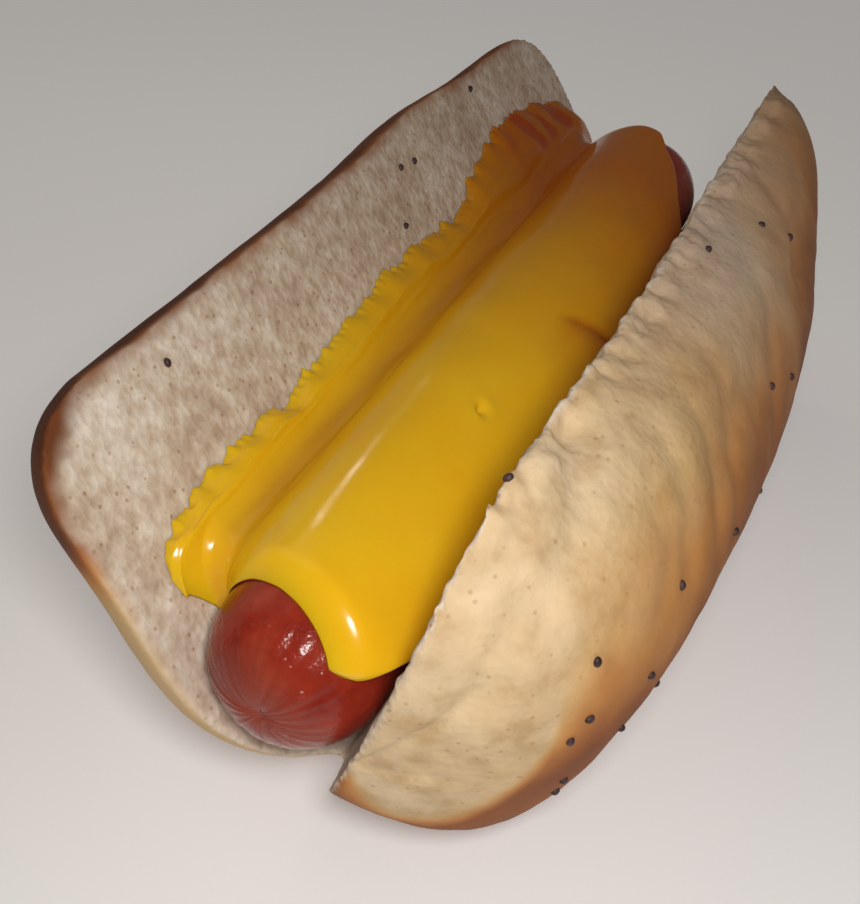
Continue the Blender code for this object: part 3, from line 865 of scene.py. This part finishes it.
def far_folds(share, x):
    """The folds at the far end of the sheet, negative inside a fold."""
    window = math.sin(math.pi * min(1.0, 0.12 + share))
    uneven = noise.noise(((x + 3 * MM * share) / (4.2 * MM), 1.5 * share, 7.0))
    folds = 0.4 * grown(x, 40 * MM, 18 * MM) * uneven
    for middle, width, depth in FAR_FOLDS:
        folds -= depth * hill(x / MM - 4 * (share - 0.5), middle, width)
    return folds * window


def drape_marks(share, x):
    """The pit and the crease in the cheese over the frankfurter: height, and how much painted shade darkens
    the crease.
    """
    pit = ((x - PIT_PLACE[0]) / PIT_SIZE[0]) ** 2 + ((share * DRAPE_WIDTH - PIT_PLACE[1]) / PIT_SIZE[1]) ** 2
    height = MM * (0.35 * math.exp(-pit / 3.5) - 1.25 * math.exp(-pit))
    crease_x = (CREASE_FROM + CREASE_SLANT * (share - CREASE_MIDDLE)) * MM
    strength = 0.55 * smoothstep(0.56, 0.7, share)
    height -= 0.9 * MM * strength * hill(x, crease_x, 1.1 * MM)
    before = max(0, (crease_x - x) / (4 * MM))
    after = max(0, (x - crease_x) / (0.8 * MM))
    return height, strength * math.exp(-before - after)


def closed_grid(name, top, under):
    """A closed mesh between two grids of points, one over the other."""
    rows, columns = top.shape[0], top.shape[1]
    size = rows * columns
    grid = np.arange(size).reshape(rows, columns)
    faces = []
    for row in range(rows - 1):
        for column in range(columns - 1):
            quad = [int(grid[place]) for place in (
                (row, column), (row + 1, column), (row + 1, column + 1), (row, column + 1))]
            faces.append(quad)
            faces.append([size + corner for corner in reversed(quad)])
    loop = [*grid[0, :-1], *grid[:-1, -1], *grid[-1, :0:-1], *grid[:0:-1, 0]]
    for first, second in zip(loop, loop[1:] + loop[:1]):
        faces.append([int(corner) for corner in (first, second, size + second, size + first)])
    mesh = bpy.data.meshes.new(name)
    mesh.from_pydata(np.vstack([top.reshape(-1, 3), under.reshape(-1, 3)]).tolist(), [], faces)
    mesh.update()
    check = bmesh.new()
    check.from_mesh(mesh)
    if check.calc_volume(signed=True) < 0:
        bmesh.ops.reverse_faces(check, faces=check.faces)
        check.to_mesh(mesh)
    check.free()
    return mesh


def detailed_cheese(material):
    columns = []
    for part, count in zip((SHEET, VALLEY, DRAPE), CHEESE_COLUMNS):
        columns += [(part, step / count) for step in range(count)]
    columns.append((DRAPE, 1.0))
    shape = (CHEESE_ROWS + 1, len(columns))
    top = np.empty((*shape, 3))
    under = np.empty((*shape, 3))
    valley_shade_and_sheen = np.zeros(shape)
    toast_and_painted_shade = np.zeros(shape)
    for column, (part, share) in enumerate(columns):
        turn = (-40 + 30 * share, -10, math.degrees(CHEESE_FAR_SIDE) * share)[part]
        across = ((share - 1) * 7, share * 5, 5 + share * DRAPE_WIDTH / MM)[part]
        near = float(follow(CHEESE_NEAR, turn)) * MM
        far = float(follow(CHEESE_FAR, turn)) * MM
        spread_out = 0.35 + 0.65 * min(1.0, share * 1.6) if part == SHEET else 1.0
        for row in range(CHEESE_ROWS + 1):
            x = near + (far - near) * row / CHEESE_ROWS
            tooth = border_tooth(part, share, x)
            full = edge_fullness(part, share, min(x - near, far - x))
            waves = 0.25 * MM * noise.noise((x / (11 * MM), share * 3 + part * 2, 2.0))
            # Painted shade: the cheese darkens steadily towards the far end
            toast_and_painted_shade[row, column] = 0.82 * grown(x, -24 * MM, 68 * MM)
            if part == SHEET:
                folds = far_folds(share, x)
                waves += 0.55 * MM * folds
                # Painted shade inside the far folds
                toast_and_painted_shade[row, column] += min(0.6, max(0.0, -1.6 * folds))
            if part == DRAPE:
                height, crease_shade = drape_marks(share, x)
                waves += height
                # Painted shade along the crease
                toast_and_painted_shade[row, column] += crease_shade
            low = CHEESE_UNDER * (0.25 + 0.75 * full)
            lift = low + (CHEESE_THICKNESS + waves) * (0.08 + 0.92 * full) * spread_out
            if part == DRAPE:
                lift = min(lift, free_lift(math.radians(turn)))
            low = min(low, lift)
            valley = VALLEY_UNDER + (VALLEY_OVER - VALLEY_UNDER) * full
            top[row, column] = (x, *cheese_path(part, share, x, lift, valley, tooth))
            under[row, column] = (x, *cheese_path(part, share, x, low, VALLEY_UNDER, tooth))
            # Painted shade and sheen along the valley, weaker towards the near end
            band = 0.45 + 0.55 * grown(x, -66 * MM, 14 * MM)
            valley_shade_and_sheen[row, column] = 0.6 * band * hill(across, 3.2, 2.0)
    mesh = closed_grid("cheese", top, under)
    set_shade(mesh, "valley_shade_and_sheen", np.tile(valley_shade_and_sheen.ravel(), 2))
    set_shade(mesh, "toast_and_painted_shade", np.tile(toast_and_painted_shade.ravel(), 2))
    return new_piece("cheese_melt", mesh, material, "cheese")


# The stage


def add_light(name, place, target, size, power, colour=(1, 1, 1)):
    lamp = bpy.data.lights.new(name, "AREA")
    lamp.shape = "DISK"
    lamp.size = size
    lamp.energy = power
    lamp.color = colour
    obj = bpy.data.objects.new(name, lamp)
    bpy.context.scene.collection.objects.link(obj)
    obj.location = place
    obj.visible_camera = False
    obj.rotation_mode = "QUATERNION"
    obj.rotation_quaternion = (Vector(target) - Vector(place)).to_track_quat("-Z", "Y")


def set_stage():
    mesh = bpy.data.meshes.new("floor")
    turns = ((-1, -1), (1, -1), (1, 1), (-1, 1))
    corners = [(x * FLOOR_HALF, y * FLOOR_HALF, 0) for x, y in turns]
    mesh.from_pydata(corners, [], [(0, 1, 2, 3)])
    floor = bpy.data.objects.new("floor", mesh)
    bpy.context.scene.collection.objects.link(floor)
    floor.location = (0, 0, -0.0002)
    material, _, _, shader = food_material("floor", 0.8)
    shader.inputs["Base Color"].default_value = (0.9, 0.9, 0.9, 1)
    shader.inputs["Emission Color"].default_value = (1, 1, 1, 1)
    shader.inputs["Emission Strength"].default_value = 0.22
    mesh.materials.append(material)
    world = bpy.data.worlds.new("studio")
    world.use_nodes = True
    world.node_tree.nodes["Background"].inputs["Color"].default_value = (1, 0.9, 0.8, 1)
    world.node_tree.nodes["Background"].inputs["Strength"].default_value = 0.11
    bpy.context.scene.world = world
    add_light("key", (-0.142, -0.056, 0.142), (-0.03, 0, 0.03), 0.03, 0.15, (1.0, 0.97, 0.93))
    add_light("fill", (0.1, 0.3, 0.5), (0, 0, 0.03), 0.5, 0.24, (1.0, 0.85, 0.7))
    add_light("streak", (0.155, 0.162, 0.197), (-0.045, 0, 0.045), 0.016, 0.016, (1.0, 0.92, 0.8))
    bpy.context.scene.view_settings.view_transform = "Standard"


def set_camera():
    lens = bpy.data.cameras.new("camera")
    lens.lens = 46.99
    lens.sensor_width = 36
    lens.clip_start = 0.01
    obj = bpy.data.objects.new("camera", lens)
    bpy.context.scene.collection.objects.link(obj)
    back = Vector((-0.7338, -0.3291, 0.5943)).normalized()
    right = Vector((0.4092, -0.9124, 0.0)).normalized()
    up = back.cross(right)
    turned = Matrix((right, up, back)).transposed().to_4x4()
    obj.matrix_world = Matrix.Translation((-0.14562, AXIS_Y - 0.05018, AXIS_Z + 0.0952)) @ turned
    bpy.context.scene.camera = obj


bun = detailed_bun(bun_material())
poppy_seeds(bun, seed_material())
detailed_frankfurter(frank_material())
detailed_cheese(cheese_material())
set_stage()
set_camera()
